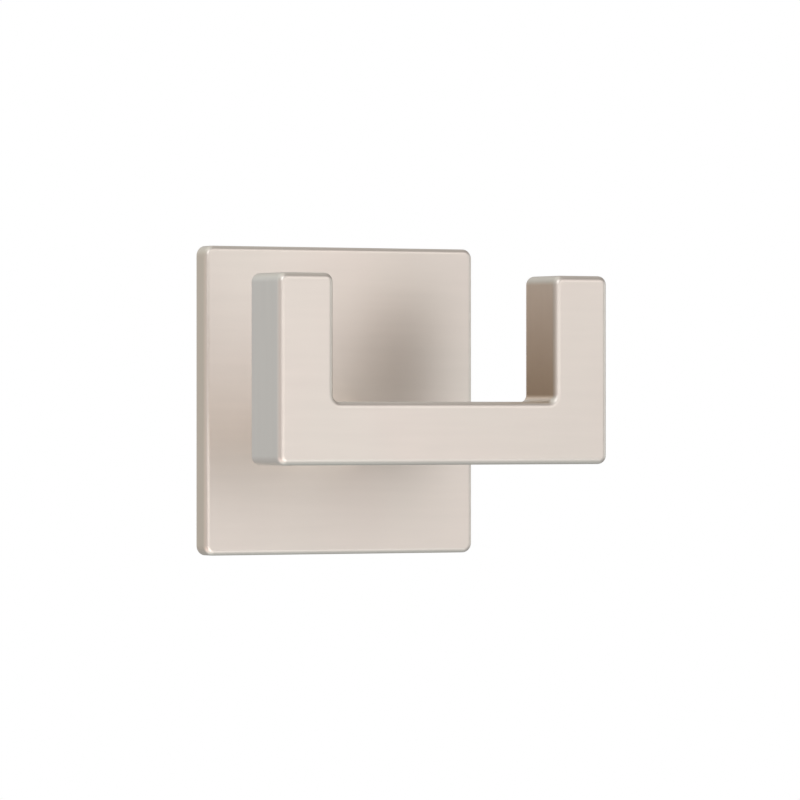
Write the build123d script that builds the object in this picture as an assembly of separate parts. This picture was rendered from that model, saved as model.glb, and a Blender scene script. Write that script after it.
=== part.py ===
from build123d import *
import math
import os

# Adhesive double hook: a square backplate, a U-shaped fork of square bar cast in one with its
# post, the screw that draws the post to the plate, and the foam pad that sticks it to a wall.
# Millimetres. X runs right and Z up as someone facing the wall sees them, and Y runs into the
# wall. The origin is the centre of the foam pad's back, so the wall is the plane Y = 0.

# Backplate
plate_width = 50.0
plate_height = 50.0
plate_thickness = 3.3
plate_corner_radius = 1.6
plate_front_radius = 0.8
plate_back_chamfer = 0.2

# Foam pad, which stops short of the plate's edge all round
pad_thickness = 1.1
pad_margin = 2.0
pad_corner_radius = 2.5

# Fork: a bar with a prong standing at each end
fork_width = 60.3
fork_depth = 9.8
bar_height = 10.0
bar_top_level = -0.2
prong_width = 9.9
prong_rise = 20.2
fork_corner_radius = 1.4
fork_inner_radius = 1.15
cast_edge_radius = 1.0

# Post: as tall as the bar, from the plate's front to the back of the bar
post_width = 9.8
post_length = 24.2
post_root_radius = 1.5

# Countersunk machine screw, from the plate's back into the post
screw_diameter = 5.0
screw_length = 12.0
screw_head_diameter = 9.2
screw_head_rim = 0.2
head_cone_angle = 90.0
screw_head_sink = 0.1
screw_tip_chamfer = 0.5
plate_hole_clearance = 0.15
thread_clearance = 0.05
tapped_hole_spare = 2.0
drill_point_angle = 118.0

# Cross recess in the screw's head
recess_span = 4.6
recess_wing = 1.2
recess_floor_span = 2.0
recess_floor_wing = 0.7
recess_depth = 2.0

# Locating pips on the post's end, opposite each other, that stop the fork turning
pip_count = 2
pip_angle = 45.0
pip_diameter = 1.6
pip_height = 0.9
pip_radius_out = 4.5
pip_tip_chamfer = 0.2
pip_clearance = 0.05
pip_hole_spare = 0.2

# Places along Y, from the wall outwards
plate_back = -pad_thickness
plate_front = plate_back - plate_thickness
fork_back = plate_front - post_length
head_top = plate_back - screw_head_sink

# Heights
bar_bottom_level = bar_top_level - bar_height
post_level = bar_top_level - bar_height / 2

# Sizes shared by the screw and its seats
head_cone_slope = math.tan(math.radians(head_cone_angle / 2))
head_cone_height = (screw_head_diameter - screw_diameter) / 2 / head_cone_slope

# Faces that meet at a larger angle than this, in degrees, make a sharp edge
sharp_angle = 5.0


def facing_out(y, x=0.0, z=0.0):
    """A plane parallel to the wall, whose normal points away from the wall and whose Y is up."""
    return Plane(origin=(x, y, z), x_dir=(1, 0, 0), z_dir=(0, -1, 0))


def pip_centres():
    """The pips' places round the screw, in the plane where the post meets the plate."""
    return PolarLocations(pip_radius_out, pip_count, start_angle=pip_angle)


def sharp_edges(solid):
    """The edges where two faces meet at an angle, and not as a smooth run-on."""
    found = ShapeList()
    faces = solid.faces()
    for edge in solid.edges():
        middle = edge.position_at(0.5)
        sides = [face for face in faces if any(edge.is_same(own) for own in face.edges())]
        if len(sides) == 2:
            turn = sides[0].normal_at(middle).get_angle(sides[1].normal_at(middle))
            if turn > sharp_angle:
                found.append(edge)
    return found


def fork_outline():
    """The fork seen from the front, with its corners rounded, in the wall's own plane."""
    fork_height = bar_height + prong_rise
    gap_width = fork_width - 2 * prong_width
    blank = Pos(0, bar_bottom_level + fork_height / 2) * Rectangle(fork_width, fork_height)
    gap = Pos(0, bar_top_level + prong_rise / 2) * Rectangle(gap_width, prong_rise)
    outline = blank - gap
    outline = fillet(outline.vertices().group_by(Axis.Y)[1], fork_inner_radius)
    ends = outline.vertices().group_by(Axis.Y)
    return fillet(ends[0] + ends[-1], fork_corner_radius)


def make_hook_body():
    """The fork and its post, one casting with every outer edge rounded."""
    fork = extrude(facing_out(fork_back) * fork_outline(), fork_depth)
    post_section = Rectangle(post_width, bar_height)
    post = extrude(facing_out(plate_front, z=post_level) * post_section, post_length)
    body = (fork + post).clean()

    upright_edges = body.edges().filter_by(Axis.Z)
    post_edges = upright_edges.filter_by_position(Axis.X, -post_width / 2, post_width / 2)
    post_roots = post_edges.group_by(Axis.Y)[0]
    body = fillet(post_roots, post_root_radius)

    end_edges = body.faces().sort_by(Axis.Y)[-1].edges()
    outer_edges = [
        edge for edge in sharp_edges(body) if not any(edge.is_same(end) for end in end_edges)
    ]
    body = fillet(outer_edges, cast_edge_radius)

    seat = facing_out(plate_front, z=post_level)
    hole_radius = screw_diameter / 2 + thread_clearance
    screw_reach = plate_front - head_top + screw_length
    hole_depth = screw_reach + tapped_hole_spare
    point_height = hole_radius / math.tan(math.radians(drill_point_angle / 2))
    body -= seat * extrude(Circle(hole_radius), hole_depth)
    body -= seat * Pos(0, 0, hole_depth + point_height / 2) * Cone(hole_radius, 0, point_height)

    pip = extrude(Circle(pip_diameter / 2), -pip_height)
    pip = chamfer(pip.edges().sort_by(Axis.Z)[0], pip_tip_chamfer)
    for place in pip_centres():
        body += seat * place * pip
    return body


def make_backplate():
    """The square plate, with the screw's countersunk hole and the pips' blind holes."""
    outline = RectangleRounded(plate_width, plate_height, plate_corner_radius)
    plate = extrude(facing_out(plate_back) * outline, plate_thickness)
    plate = fillet(plate.faces().sort_by(Axis.Y)[0].edges(), plate_front_radius)
    plate = chamfer(plate.faces().sort_by(Axis.Y)[-1].edges(), plate_back_chamfer)

    seat = facing_out(plate_front, z=post_level)
    head_to_back = screw_head_rim + screw_head_sink
    seat_from_behind = Plane(origin=(0, plate_back, post_level), z_dir=(0, 1, 0))
    plate -= seat_from_behind * CounterSinkHole(
        radius=screw_diameter / 2 + plate_hole_clearance,
        counter_sink_radius=screw_head_diameter / 2 + head_to_back * head_cone_slope,
        depth=plate_thickness,
        counter_sink_angle=head_cone_angle,
    )
    pip_hole = extrude(Circle(pip_diameter / 2 + pip_clearance), -pip_height - pip_hole_spare)
    for place in pip_centres():
        plate -= seat * place * pip_hole
    return plate


def make_post_screw():
    """The countersunk screw, turned, with a tapering cross recess in its head."""
    shank_radius = screw_diameter / 2
    head_radius = screw_head_diameter / 2
    cone_end = screw_head_rim + head_cone_height
    section = Polyline(
        (0, 0),
        (head_radius, 0),
        (head_radius, screw_head_rim),
        (shank_radius, cone_end),
        (shank_radius, screw_length - screw_tip_chamfer),
        (shank_radius - screw_tip_chamfer, screw_length),
        (0, screw_length),
        close=True,
    )
    screw = revolve(Plane.XZ * make_face(section), Axis.Z)
    mouth = Rectangle(recess_span, recess_wing) + Rectangle(recess_wing, recess_span)
    floor = Rectangle(recess_floor_span, recess_floor_wing) + Rectangle(
        recess_floor_wing, recess_floor_span
    )
    screw -= loft([mouth, Pos(0, 0, recess_depth) * floor], ruled=True)
    return facing_out(head_top, z=post_level) * screw


def make_adhesive_pad():
    """The double-sided foam pad, flat against the plate's back."""
    pad_width = plate_width - 2 * pad_margin
    pad_height = plate_height - 2 * pad_margin
    outline = RectangleRounded(pad_width, pad_height, pad_corner_radius)
    return extrude(facing_out(0) * outline, pad_thickness)


def main():
    os.makedirs("parts", exist_ok=True)
    pieces = {
        "backplate": make_backplate(),
        "hook_body": make_hook_body(),
        "post_screw": make_post_screw(),
        "adhesive_pad": make_adhesive_pad(),
    }
    for name, piece in pieces.items():
        export_step(piece, f"parts/{name}.step")


main()
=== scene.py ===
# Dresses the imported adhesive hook: satin nickel on the fork, post and backplate, foam on the pad.
import math
from collections import namedtuple

import bmesh
import bpy
from bpy.props import FloatProperty, FloatVectorProperty, PointerProperty
from mathutils import Matrix, Vector


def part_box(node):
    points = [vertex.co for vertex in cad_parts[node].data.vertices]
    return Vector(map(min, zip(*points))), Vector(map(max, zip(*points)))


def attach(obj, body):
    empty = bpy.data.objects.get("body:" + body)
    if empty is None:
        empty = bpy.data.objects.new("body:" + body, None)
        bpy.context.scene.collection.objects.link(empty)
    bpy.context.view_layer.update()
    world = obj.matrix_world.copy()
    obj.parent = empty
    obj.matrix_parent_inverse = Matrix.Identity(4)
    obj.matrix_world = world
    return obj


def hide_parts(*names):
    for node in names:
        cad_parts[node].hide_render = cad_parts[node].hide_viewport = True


bl_info = {
    "name": "Adhesive hook",
    "version": (1, 0, 0),
    "blender": (4, 5, 0),
    "location": "3D View > Sidebar > Hook",
    "description": "Dresses the pieces of an adhesive double hook and sets up its studio",
    "category": "Object",
}

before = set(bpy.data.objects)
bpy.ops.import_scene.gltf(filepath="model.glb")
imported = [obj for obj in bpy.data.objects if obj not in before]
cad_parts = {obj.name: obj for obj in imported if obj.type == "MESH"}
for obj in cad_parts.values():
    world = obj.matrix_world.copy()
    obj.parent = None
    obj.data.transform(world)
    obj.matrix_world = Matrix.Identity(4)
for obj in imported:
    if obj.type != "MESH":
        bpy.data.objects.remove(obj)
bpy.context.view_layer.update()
BODY = "root"
MM = 0.001

# Powers that keep a mask to the faces that look one way, so it dies out over the roundings.
SIDE_MASK_POWER = 4
FILM_MASK_POWER = 6

# The floor's disc ends just inside the tent, by this share of the tent's radius at its level.
FLOOR_SHARE = 0.98

# Glows on the tent: where each lies from the hook, in degrees, how tight it is, and the light at
# its middle. A light below zero is a shade, here the dark side of the room behind the camera.
Glow = namedtuple("Glow", "azimuth elevation sharpness light")
GLOWS = (
    Glow(26.7, 17.5, 18, (2.21, 2.23, 2.26)),
    Glow(-6.2, -22.4, 15, (2.78, 2.73, 2.73)),
    Glow(25.4, -23.6, 18, (1.06, 1.15, 1.2)),
    Glow(-77.0, -38.0, 7, (0.898, 0.703, 0.664)),
    Glow(-27.5, 29.2, 18, (2.6, 2.75, 2.87)),
    Glow(79.3, 0.3, 18, (1.22, 1.38, 1.41)),
    Glow(-131.5, 51.3, 1.26, (0.751, 0.857, 0.856)),
    Glow(7.9, 4.5, 2.95, (-0.64, -0.64, -0.64)),
    Glow(-66.3, -90.0, 2.53, (0.388, 0.539, 0.569)),
    Glow(0.0, -66.0, 5, (0.412, 0.412, 0.412)),
    Glow(0.0, 78.0, 6, (0.221, 0.221, 0.221)),
)


class NickelProperties(bpy.types.PropertyGroup):
    """The satin nickel plating of the fork, post and backplate."""

    colour: FloatVectorProperty(
        name="Nickel colour", description="Colour of the plating under a white light",
        subtype="COLOR", size=3, min=0, max=1, default=(0.8, 0.704, 0.634))
    pale_colour: FloatVectorProperty(
        name="Pale nickel colour", description="Colour of the plating where it is thinnest",
        subtype="COLOR", size=3, min=0, max=1, default=(0.781, 0.718, 0.641))
    # Painted reflection: a lighter, cooler plating colour on the fork's left and right faces.
    fork_side_painted_reflection: FloatVectorProperty(
        name="Fork side painted reflection",
        description="Painted reflection on the fork's sides, which face left and right",
        subtype="COLOR", size=3, min=0, max=1, default=(0.808, 0.758, 0.716))
    # Painted shade: a darker, browner plating colour on the backplate's narrow sides.
    plate_side_painted_shade: FloatVectorProperty(
        name="Plate side painted shade", description="Painted shade on the backplate's narrow sides",
        subtype="COLOR", size=3, min=0, max=1, default=(0.755, 0.655, 0.56))
    # Painted shade: a darker plating colour low on the prongs' inner sides, standing in for the
    # shade between them.
    painted_shade_colour: FloatVectorProperty(
        name="Painted shade colour", description="Painted shade low between the prongs",
        subtype="COLOR", size=3, min=0, max=1, default=(0.43, 0.337, 0.253))
    painted_shade_fade: FloatProperty(
        name="Painted shade fade", description="How far the painted shade has faded at the prongs' tips",
        min=0, max=1, default=0.42)
    drift_size: FloatProperty(
        name="Drift size", description="How far apart the plating's changes of colour are",
        unit="LENGTH", default=18 * MM)
    roughness: FloatProperty(
        name="Roughness", description="How far the plating blurs what it reflects",
        min=0, max=1, default=0.42)
    roughness_change: FloatProperty(
        name="Roughness change", description="How much the blur changes from line to line",
        min=0, max=1, default=0.04)
    line_pitch: FloatProperty(
        name="Line pitch", description="Distance between the fine satin lines",
        unit="LENGTH", default=0.25 * MM)
    line_length: FloatProperty(
        name="Line length", description="Length of the fine satin lines",
        unit="LENGTH", default=14 * MM)
    line_depth: FloatProperty(
        name="Line depth", description="Depth of the fine satin lines",
        unit="LENGTH", default=0.004 * MM)
    wave_size: FloatProperty(
        name="Wave size", description="Distance between the belt's shallow waves in the faces",
        unit="LENGTH", default=11 * MM)
    wave_depth: FloatProperty(
        name="Wave depth", description="Depth of the belt's shallow waves in the faces",
        unit="LENGTH", default=0.07 * MM)
    streak_pitch: FloatProperty(
        name="Streak pitch", description="Distance between the broad soft streaks",
        unit="LENGTH", default=1.6 * MM)
    streak_length: FloatProperty(
        name="Streak length", description="Length of the broad soft streaks",
        unit="LENGTH", default=22 * MM)
    streak_strength: FloatProperty(
        name="Streak strength", description="How much the streaks lighten and darken the plating",
        min=0, max=1, default=0.06)


class ScrewProperties(bpy.types.PropertyGroup):
    """The plated steel of the screw behind the post."""

    colour: FloatVectorProperty(
        name="Zinc colour", description="Colour of the screw's zinc plating",
        subtype="COLOR", size=3, min=0, max=1, default=(0.62, 0.63, 0.64))
    roughness: FloatProperty(
        name="Roughness", description="How far the zinc plating blurs what it reflects",
        min=0, max=1, default=0.28)
    roughness_change: FloatProperty(
        name="Roughness change", description="How much the blur changes over the turning marks",
        min=0, max=1, default=0.05)
    ring_pitch: FloatProperty(
        name="Turning pitch", description="Distance between the marks of turning",
        unit="LENGTH", default=0.15 * MM)
    ring_depth: FloatProperty(
        name="Turning depth", description="Depth of the marks of turning",
        unit="LENGTH", default=0.004 * MM)


class FoamProperties(bpy.types.PropertyGroup):
    """The double-sided foam pad."""

    colour: FloatVectorProperty(
        name="Foam colour", description="Colour of the foam",
        subtype="COLOR", size=3, min=0, max=1, default=(0.32, 0.32, 0.33))
    dark_colour: FloatVectorProperty(
        name="Dark foam colour", description="Colour of the foam in its darkest patches",
        subtype="COLOR", size=3, min=0, max=1, default=(0.1984, 0.1984, 0.2046))
    cut_roughness: FloatProperty(
        name="Cut roughness", description="Roughness of the foam's cut sides",
        min=0, max=1, default=0.85)
    film_roughness: FloatProperty(
        name="Film roughness", description="Roughness of the adhesive film on the two faces",
        min=0, max=1, default=0.38)
    patch_size: FloatProperty(
        name="Patch size", description="Distance between the foam's dark patches",
        unit="LENGTH", default=10.5 * MM)
    ripple_size: FloatProperty(
        name="Ripple size", description="Distance between the ripples in the adhesive film",
        unit="LENGTH", default=4.2 * MM)
    cell_size: FloatProperty(
        name="Cell size", description="Size of the foam's cells",
        unit="LENGTH", default=0.35 * MM)
    cell_depth: FloatProperty(
        name="Cell depth", description="Depth of the cut cells",
        unit="LENGTH", default=0.03 * MM)
    side_hollow: FloatProperty(
        name="Side hollow", description="How far the cut sides draw in between the two faces",
        unit="LENGTH", default=0.12 * MM)
    corner_radius: FloatProperty(
        name="Corner radius", description="Radius of the pad's corners",
        unit="LENGTH", default=2.5 * MM)


class StudioProperties(bpy.types.PropertyGroup):
    """The camera, the floor and the lit tent."""

    azimuth: FloatProperty(
        name="Camera azimuth", description="How far the camera stands round to the right",
        subtype="ANGLE", default=math.radians(-29.33))
    camera_level: FloatProperty(
        name="Camera level", description="Height of the camera above the plate's centre",
        unit="LENGTH", default=-1.9 * MM)
    camera_distance: FloatProperty(
        name="Camera distance", description="Distance from the camera to the plate's back",
        unit="LENGTH", default=1015.7 * MM)
    aim_right: FloatProperty(
        name="Aim right", description="How far right of the plate's centre the camera looks",
        unit="LENGTH", default=11.3 * MM)
    aim_up: FloatProperty(
        name="Aim up", description="How far above its own level the camera looks",
        unit="LENGTH", default=2.03 * MM)
    lens: FloatProperty(
        name="Lens", description="Focal length in millimetres", default=279.5)
    floor_drop: FloatProperty(
        name="Floor drop", description="Distance from the plate's centre down to the floor",
        unit="LENGTH", default=0.75)
    room_radius: FloatProperty(
        name="Room radius", description="Radius of the tent round the hook and the floor",
        unit="LENGTH", default=1.6)
    floor_colour: FloatVectorProperty(
        name="Floor colour", description="Colour of the floor under a white light",
        subtype="COLOR", size=3, min=0, max=1, default=(0.8, 0.8, 0.8))
    floor_lift: FloatProperty(
        name="Floor lift", description="Light added to the floor where the camera sees it",
        min=0, max=1, default=0.55)
    tent_level: FloatProperty(
        name="Tent level",
        description="Brightness of the tent away from its glows, where 1 is white",
        min=0, max=2, default=0.078)
    tent_colour: FloatVectorProperty(
        name="Tent colour", description="Colour of the tent away from its glows",
        subtype="COLOR", size=3, min=0, max=1, default=(1.0, 0.33, 0.277))


class Wire:
    """One socket of a shader, which can be used in ordinary arithmetic."""

    def __init__(self, net, socket):
        self.net = net
        self.socket = socket

    def __add__(self, other):
        return self.net.maths("ADD", self, other)

    __radd__ = __add__

    def __sub__(self, other):
        return self.net.maths("SUBTRACT", self, other)

    def __rsub__(self, other):
        return self.net.maths("SUBTRACT", other, self)

    def __mul__(self, other):
        return self.net.maths("MULTIPLY", self, other)

    __rmul__ = __mul__

    def __pow__(self, other):
        return self.net.maths("POWER", self, other)

    def __abs__(self):
        return self.net.maths("ABSOLUTE", self)


class Net:
    """The node tree of one material or of the world."""

    def __init__(self, tree):
        self.tree = tree
        tree.nodes.clear()

    def node(self, kind, settings=None, inputs=None):
        """Adds a node: its settings first, then the value or link of each socket named."""
        made = self.tree.nodes.new(kind)
        for name, value in (settings or {}).items():
            setattr(made, name, value)
        for name, value in (inputs or {}).items():
            if isinstance(value, Wire):
                self.tree.links.new(value.socket, made.inputs[name])
            else:
                made.inputs[name].default_value = value
        return made

    def wire(self, kind, settings=None, inputs=None, output=0):
        """Adds a node and returns one of its outputs."""
        return Wire(self, self.node(kind, settings, inputs).outputs[output])

    def maths(self, operation, *values):
        """Maths on numbers, whose values or wires go to the sockets in order."""
        return self.wire("ShaderNodeMath", {"operation": operation}, dict(enumerate(values)))

    def vector(self, operation, *values, output="Vector", **named):
        """Vector maths, for colours too. Values go to the sockets in order, or by name."""
        inputs = {**dict(enumerate(values)), **named}
        return self.wire("ShaderNodeVectorMath", {"operation": operation}, inputs, output)

    def place(self, output="Object"):
        """Where the surface is on its piece, or which way it looks, for output Normal."""
        return self.wire("ShaderNodeTexCoord", output=output)

    def part(self, vector, axis):
        """One of the X, Y and Z of a vector."""
        return self.wire("ShaderNodeSeparateXYZ", None, {"Vector": vector}, axis)

    def noise(self, place, scale, stretch=(1, 1, 1), detail=2, roughness=0.5):
        """Noise from 0 to 1, with the coordinates squeezed along each axis by stretch."""
        squeezed = self.wire("ShaderNodeMapping", None, {"Vector": place, "Scale": stretch})
        return self.wire("ShaderNodeTexNoise", None, {
            "Vector": squeezed, "Scale": scale, "Detail": detail, "Roughness": roughness})

    def blend(self, factor, low, high, kind="FLOAT"):
        """low where factor is 0 and high where it is 1, as numbers or as colours."""
        a, b, out = {"FLOAT": (2, 3, 0), "RGBA": (6, 7, 2)}[kind]
        return self.wire(
            "ShaderNodeMix", {"data_type": kind, "clamp_factor": True},
            {0: factor, a: low, b: high}, out)

    def bump(self, height, depth, below=None):
        """A Normal raised by height times depth, over another Normal where below is given."""
        inputs = {"Strength": 1, "Distance": depth, "Height": height}
        if below:
            inputs["Normal"] = below
        return self.wire("ShaderNodeBump", None, inputs)

    def background_seen(self):
        """1 for what the camera, metal or glass sees directly, and 0 for light that falls."""
        path = self.node("ShaderNodeLightPath")
        camera, glossy, through = (
            Wire(self, path.outputs[name])
            for name in ("Is Camera Ray", "Is Glossy Ray", "Is Transmission Ray"))
        return self.maths("MINIMUM", camera + glossy + through, 1.0)

    def finish(self, shader, kind="ShaderNodeOutputMaterial"):
        """Joins the shader to the output of the material or world."""
        self.node(kind, None, {"Surface": shader})


def colour(values):
    """Three parts of a colour with an alpha of 1."""
    return (*values, 1)


def direction(glow):
    """The unit vector from the hook to a glow. Azimuth 0 is in front, and 90 is to the right."""
    azimuth, elevation = math.radians(glow.azimuth), math.radians(glow.elevation)
    level = math.cos(elevation)
    return (math.sin(azimuth) * level, -math.cos(azimuth) * level, math.sin(elevation))


def new_material(name):
    """Makes a material and the net of its nodes."""
    material = bpy.data.materials.new(name)
    material.use_nodes = True
    return material, Net(material.node_tree)


def nickel_material(name, props, side_painted_light, shade_top):
    """Satin nickel, with lines along the bar and the plate and up the left and right sides.

    The prongs' inner sides, which face each other, carry a painted shade: a darker colour that
    stands in for the shade between them. It is strongest at the bar and fades towards shade_top,
    the tips' level.
    """
    material, net = new_material(name)
    place = net.place()
    facing = net.part(net.place("Normal"), "X")
    sideways = abs(facing) ** SIDE_MASK_POWER
    side = net.maths("SIGN", net.part(place, "X"))
    inward = net.maths("MAXIMUM", facing * side * -1, 0)
    height = net.wire("ShaderNodeMapRange", None, {
        "Value": net.part(place, "Z"), "From Min": 0.0, "From Max": shade_top})
    # Mask of the painted shade: the prongs' inner sides, strongest at the bar and fading towards
    # the tips.
    painted_shade = inward ** SIDE_MASK_POWER * (1 - height * props.painted_shade_fade)

    def grain(pitch, length):
        """Noise drawn out along the way that the belt runs on each face."""
        fine = length / pitch
        level = net.noise(place, 1 / length, (1, fine, fine), detail=3)
        upright = net.noise(place, 1 / length, (fine, fine, 1), detail=3)
        return net.blend(sideways, level, upright)

    lines = grain(props.line_pitch, props.line_length)
    streaks = grain(props.streak_pitch, props.streak_length)

    drift = net.noise(place, 1 / props.drift_size)
    tint = net.blend(drift, colour(props.colour), colour(props.pale_colour), "RGBA")
    # Painted light on the faces that look left and right: painted reflection on the fork, painted
    # shade on the plate.
    tint = net.blend(sideways, tint, colour(side_painted_light), "RGBA")
    # Painted shade between the prongs, darker towards the bar.
    tint = net.blend(painted_shade, tint, colour(props.painted_shade_colour), "RGBA")
    shade = 1 + (streaks - 0.5) * props.streak_strength
    tint = net.vector("SCALE", tint, Scale=shade)
    roughness = props.roughness + (lines - 0.5) * props.roughness_change
    waves = net.bump(net.noise(place, 1 / props.wave_size, detail=1), props.wave_depth)
    net.finish(net.wire("ShaderNodeBsdfPrincipled", None, {
        "Base Color": tint, "Metallic": 1.0, "Roughness": roughness,
        "Normal": net.bump(lines, props.line_depth, waves)}))
    return material


def screw_material(props, axis_level):
    """Bright zinc plating over turned steel, with rings round the screw's axis."""
    material, net = new_material("zinc_plating")
    from_axis = net.vector("MULTIPLY_ADD", net.place(), (1, 0, 1), (0, 0, -axis_level))
    radius = net.vector("LENGTH", from_axis, output="Value")
    rings = net.maths("SINE", radius * (math.tau / props.ring_pitch))
    net.finish(net.wire("ShaderNodeBsdfPrincipled", None, {
        "Base Color": colour(props.colour), "Metallic": 1.0,
        "Roughness": props.roughness + rings * props.roughness_change,
        "Normal": net.bump(rings, props.ring_depth)}))
    return material


def foam_material(props):
    """Closed-cell foam: cells cut open on the sides, and a film of adhesive on the two faces."""
    material, net = new_material("closed_cell_foam")
    place = net.place()
    cells = net.wire("ShaderNodeTexVoronoi", {"feature": "F1"}, {
        "Vector": place, "Scale": 1 / props.cell_size, "Randomness": 0.9})
    film = abs(net.part(net.place("Normal"), "Y")) ** FILM_MASK_POWER
    ripple = net.noise(place, 1 / props.ripple_size, detail=4)
    patches = net.noise(place, 1 / props.patch_size, detail=4)

    # The film levels the cells to a quarter of their depth and has ripples of its own.
    height = net.blend(film, cells, cells * 0.25 + ripple)
    shade = patches * 0.7 + cells * 0.5
    tint = net.blend(shade, colour(props.dark_colour), colour(props.colour), "RGBA")
    cut_roughness = props.cut_roughness + cells * 0.1
    film_roughness = props.film_roughness + ripple * 0.2
    net.finish(net.wire("ShaderNodeBsdfPrincipled", None, {
        "Base Color": tint, "Roughness": net.blend(film, cut_roughness, film_roughness),
        "Normal": net.bump(height, props.cell_depth)}))
    return material


def give_material(thing, material):
    """Puts the material in every slot of a piece."""
    slots = thing.data.materials
    if slots:
        for index in range(len(slots)):
            slots[index] = material
    else:
        slots.append(material)


def new_thing(name, mesh_maker):
    """Makes an object from a bmesh, with its place in its mesh."""
    shape = bmesh.new()
    mesh_maker(shape)
    mesh = bpy.data.meshes.new(name)
    shape.to_mesh(mesh)
    shape.free()
    thing = bpy.data.objects.new(name, mesh)
    bpy.context.scene.collection.objects.link(thing)
    return thing


class HOOK_OT_metal(bpy.types.Operator):
    """Gives the fork, its post and the backplate their satin nickel plating"""

    bl_idname = "hook.metal"
    bl_label = "Plate the hook and backplate"

    def execute(self, context):
        props = context.scene.hook_nickel
        prong_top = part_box("hook_body")[1].z
        # The side colour is painted reflection on the fork and painted shade on the backplate.
        for name, material_name, side_painted_light in (
                ("hook_body", "satin_nickel_fork", props.fork_side_painted_reflection),
                ("backplate", "satin_nickel_plate", props.plate_side_painted_shade)):
            nickel = nickel_material(material_name, props, side_painted_light, prong_top)
            give_material(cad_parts[name], nickel)
        return {"FINISHED"}


class HOOK_OT_screw(bpy.types.Operator):
    """Gives the screw behind the post its zinc plating"""

    bl_idname = "hook.screw"
    bl_label = "Plate the screw"

    def execute(self, context):
        low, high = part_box("post_screw")
        axis_level = (low.z + high.z) / 2
        zinc = screw_material(context.scene.hook_screw, axis_level)
        give_material(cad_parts["post_screw"], zinc)
        return {"FINISHED"}


class HOOK_OT_foam_pad(bpy.types.Operator):
    """Makes the die-cut foam pad on the backplate's back"""

    bl_idname = "hook.foam_pad"
    bl_label = "Make the foam pad"

    def execute(self, context):
        props = context.scene.hook_foam
        low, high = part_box("adhesive_pad")

        def pad_mesh(shape):
            width, height, depth = high.x - low.x, high.z - low.z, high.y - low.y
            bmesh.ops.create_grid(shape, x_segments=1, y_segments=1, size=0.5)
            bmesh.ops.scale(shape, vec=(width, height, 1), verts=shape.verts)
            bmesh.ops.bevel(
                shape, geom=shape.verts[:], offset=props.corner_radius, segments=8,
                profile=0.5, affect="VERTICES", material=-1)
            middle = Vector(((low.x + high.x) / 2, low.y, (low.z + high.z) / 2))
            grown = bmesh.ops.extrude_face_region(shape, geom=shape.faces[:])["geom"]
            rim = [part for part in grown if isinstance(part, bmesh.types.BMVert)]
            bmesh.ops.translate(shape, verts=rim, vec=(0, 0, depth))
            cut = bmesh.ops.bisect_plane(
                shape, geom=shape.verts[:] + shape.edges[:] + shape.faces[:],
                plane_co=(0, 0, depth / 2), plane_no=(0, 0, 1))["geom_cut"]
            waist = [part for part in cut if isinstance(part, bmesh.types.BMVert)]
            drawn_in = 2 * props.side_hollow
            bmesh.ops.scale(
                shape, verts=waist, vec=(1 - drawn_in / width, 1 - drawn_in / height, 1))
            bmesh.ops.recalc_face_normals(shape, faces=shape.faces)
            turn = Matrix.Translation(middle) @ Matrix.Rotation(math.radians(-90), 4, "X")
            bmesh.ops.transform(shape, matrix=turn, verts=shape.verts)

        pad = new_thing("foam_pad", pad_mesh)
        give_material(pad, foam_material(props))
        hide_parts("adhesive_pad")
        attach(pad, BODY)
        return {"FINISHED"}


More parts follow.
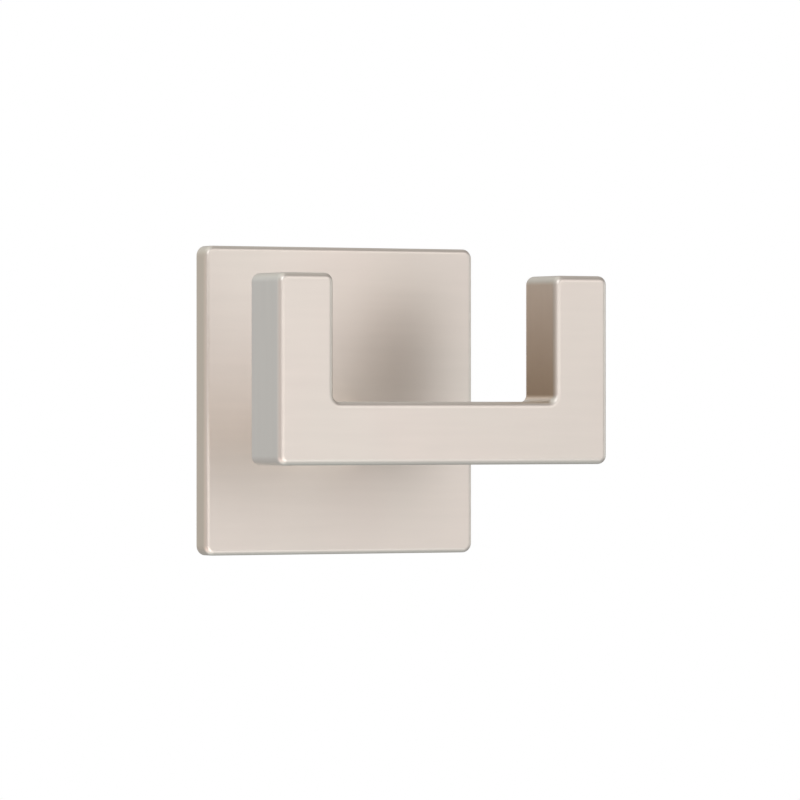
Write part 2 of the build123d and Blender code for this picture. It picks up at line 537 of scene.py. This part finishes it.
class HOOK_OT_studio(bpy.types.Operator):
    """Sets up the camera, the white background, the pale floor and the lit tent"""

    bl_idname = "hook.studio"
    bl_label = "Set up the studio"

    def execute(self, context):
        props = context.scene.hook_studio
        self.add_camera(context, props)
        self.add_world(context)
        self.add_floor(props)
        self.add_tent(props)
        context.scene.view_settings.view_transform = "Standard"
        return {"FINISHED"}

    def add_camera(self, context, props):
        ahead = Vector((-math.sin(props.azimuth), math.cos(props.azimuth), 0))
        right = Vector((ahead.y, -ahead.x, 0))
        plate_back = Vector((0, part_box("backplate")[1].y, props.camera_level))
        aim = plate_back + right * props.aim_right + Vector((0, 0, props.aim_up))
        data = bpy.data.cameras.new("camera")
        data.lens = props.lens
        data.clip_start = 0.05
        data.clip_end = 20
        camera = bpy.data.objects.new("camera", data)
        camera.location = plate_back - ahead * props.camera_distance
        camera.rotation_euler = (aim - camera.location).to_track_quat("-Z", "Y").to_euler()
        context.scene.collection.objects.link(camera)
        context.scene.camera = camera

    def add_world(self, context):
        world = bpy.data.worlds.new("white_background")
        world.use_nodes = True
        net = Net(world.node_tree)
        white = net.wire("ShaderNodeBackground", None, {
            "Color": (1, 1, 1, 1), "Strength": net.background_seen()})
        net.finish(white, "ShaderNodeOutputWorld")
        context.scene.world = world

    def add_floor(self, props):
        def floor_mesh(shape):
            tent_reach = math.sqrt(props.room_radius ** 2 - props.floor_drop ** 2)
            bmesh.ops.create_circle(
                shape, cap_ends=True, radius=FLOOR_SHARE * tent_reach, segments=96)
            bmesh.ops.translate(shape, verts=shape.verts, vec=(0, 0, -props.floor_drop))

        floor = new_thing("floor", floor_mesh)
        material, net = new_material("pale_floor")
        diffuse = net.wire("ShaderNodeBsdfDiffuse", None, {"Color": colour(props.floor_colour)})
        lift = net.wire("ShaderNodeEmission", None, {
            "Color": (1, 1, 1, 1), "Strength": net.background_seen() * props.floor_lift})
        net.finish(net.wire("ShaderNodeAddShader", None, {0: diffuse, 1: lift}))
        give_material(floor, material)
        # The metal mirrors the lit tent below the floor, as it does over a clear stand.
        floor.visible_glossy = False

    def add_tent(self, props):
        def tent_mesh(shape):
            bmesh.ops.create_uvsphere(
                shape, u_segments=48, v_segments=24, radius=props.room_radius)
            bmesh.ops.reverse_faces(shape, faces=shape.faces)

        tent = new_thing("tent", tent_mesh)
        material, net = new_material("tent_cloth")
        away = net.vector("NORMALIZE", net.place())
        light = tuple(props.tent_level * part for part in props.tent_colour)
        for glow in GLOWS:
            nearness = net.vector("DOT_PRODUCT", away, direction(glow), output="Value")
            fall = net.maths("EXPONENT", (nearness - 1) * glow.sharpness)
            light = net.vector("ADD", net.vector("SCALE", glow.light, Scale=fall), light)
        light = net.vector("MAXIMUM", light, (0, 0, 0))
        net.finish(net.wire("ShaderNodeBsdfPrincipled", None, {
            "Base Color": (0, 0, 0, 1), "Specular IOR Level": 0.0,
            "Emission Color": light, "Emission Strength": 1.0}))
        give_material(tent, material)
        tent.visible_camera = False


class HOOK_PT_panel(bpy.types.Panel):
    """Lists the hook's steps in the sidebar"""

    bl_idname = "HOOK_PT_panel"
    bl_label = "Adhesive hook"
    bl_space_type = "VIEW_3D"
    bl_region_type = "UI"
    bl_category = "Hook"

    def draw(self, context):
        for operator in OPERATORS:
            self.layout.operator(operator.bl_idname)
        for name, _ in GROUPS:
            props = getattr(context.scene, name)
            box = self.layout.box()
            for field in props.__annotations__:
                box.prop(props, field)


GROUPS = (
    ("hook_nickel", NickelProperties),
    ("hook_screw", ScrewProperties),
    ("hook_foam", FoamProperties),
    ("hook_studio", StudioProperties),
)
OPERATORS = (HOOK_OT_studio, HOOK_OT_metal, HOOK_OT_screw, HOOK_OT_foam_pad)


def register():
    for name, group in GROUPS:
        bpy.utils.register_class(group)
        setattr(bpy.types.Scene, name, PointerProperty(type=group))
    for kind in (*OPERATORS, HOOK_PT_panel):
        bpy.utils.register_class(kind)


def unregister():
    for kind in reversed((*OPERATORS, HOOK_PT_panel)):
        bpy.utils.unregister_class(kind)
    for name, group in reversed(GROUPS):
        delattr(bpy.types.Scene, name)
        bpy.utils.unregister_class(group)


def main():
    register()
    bpy.ops.hook.studio()
    bpy.ops.hook.metal()
    bpy.ops.hook.screw()
    bpy.ops.hook.foam_pad()


if __name__ == "__main__":
    main()
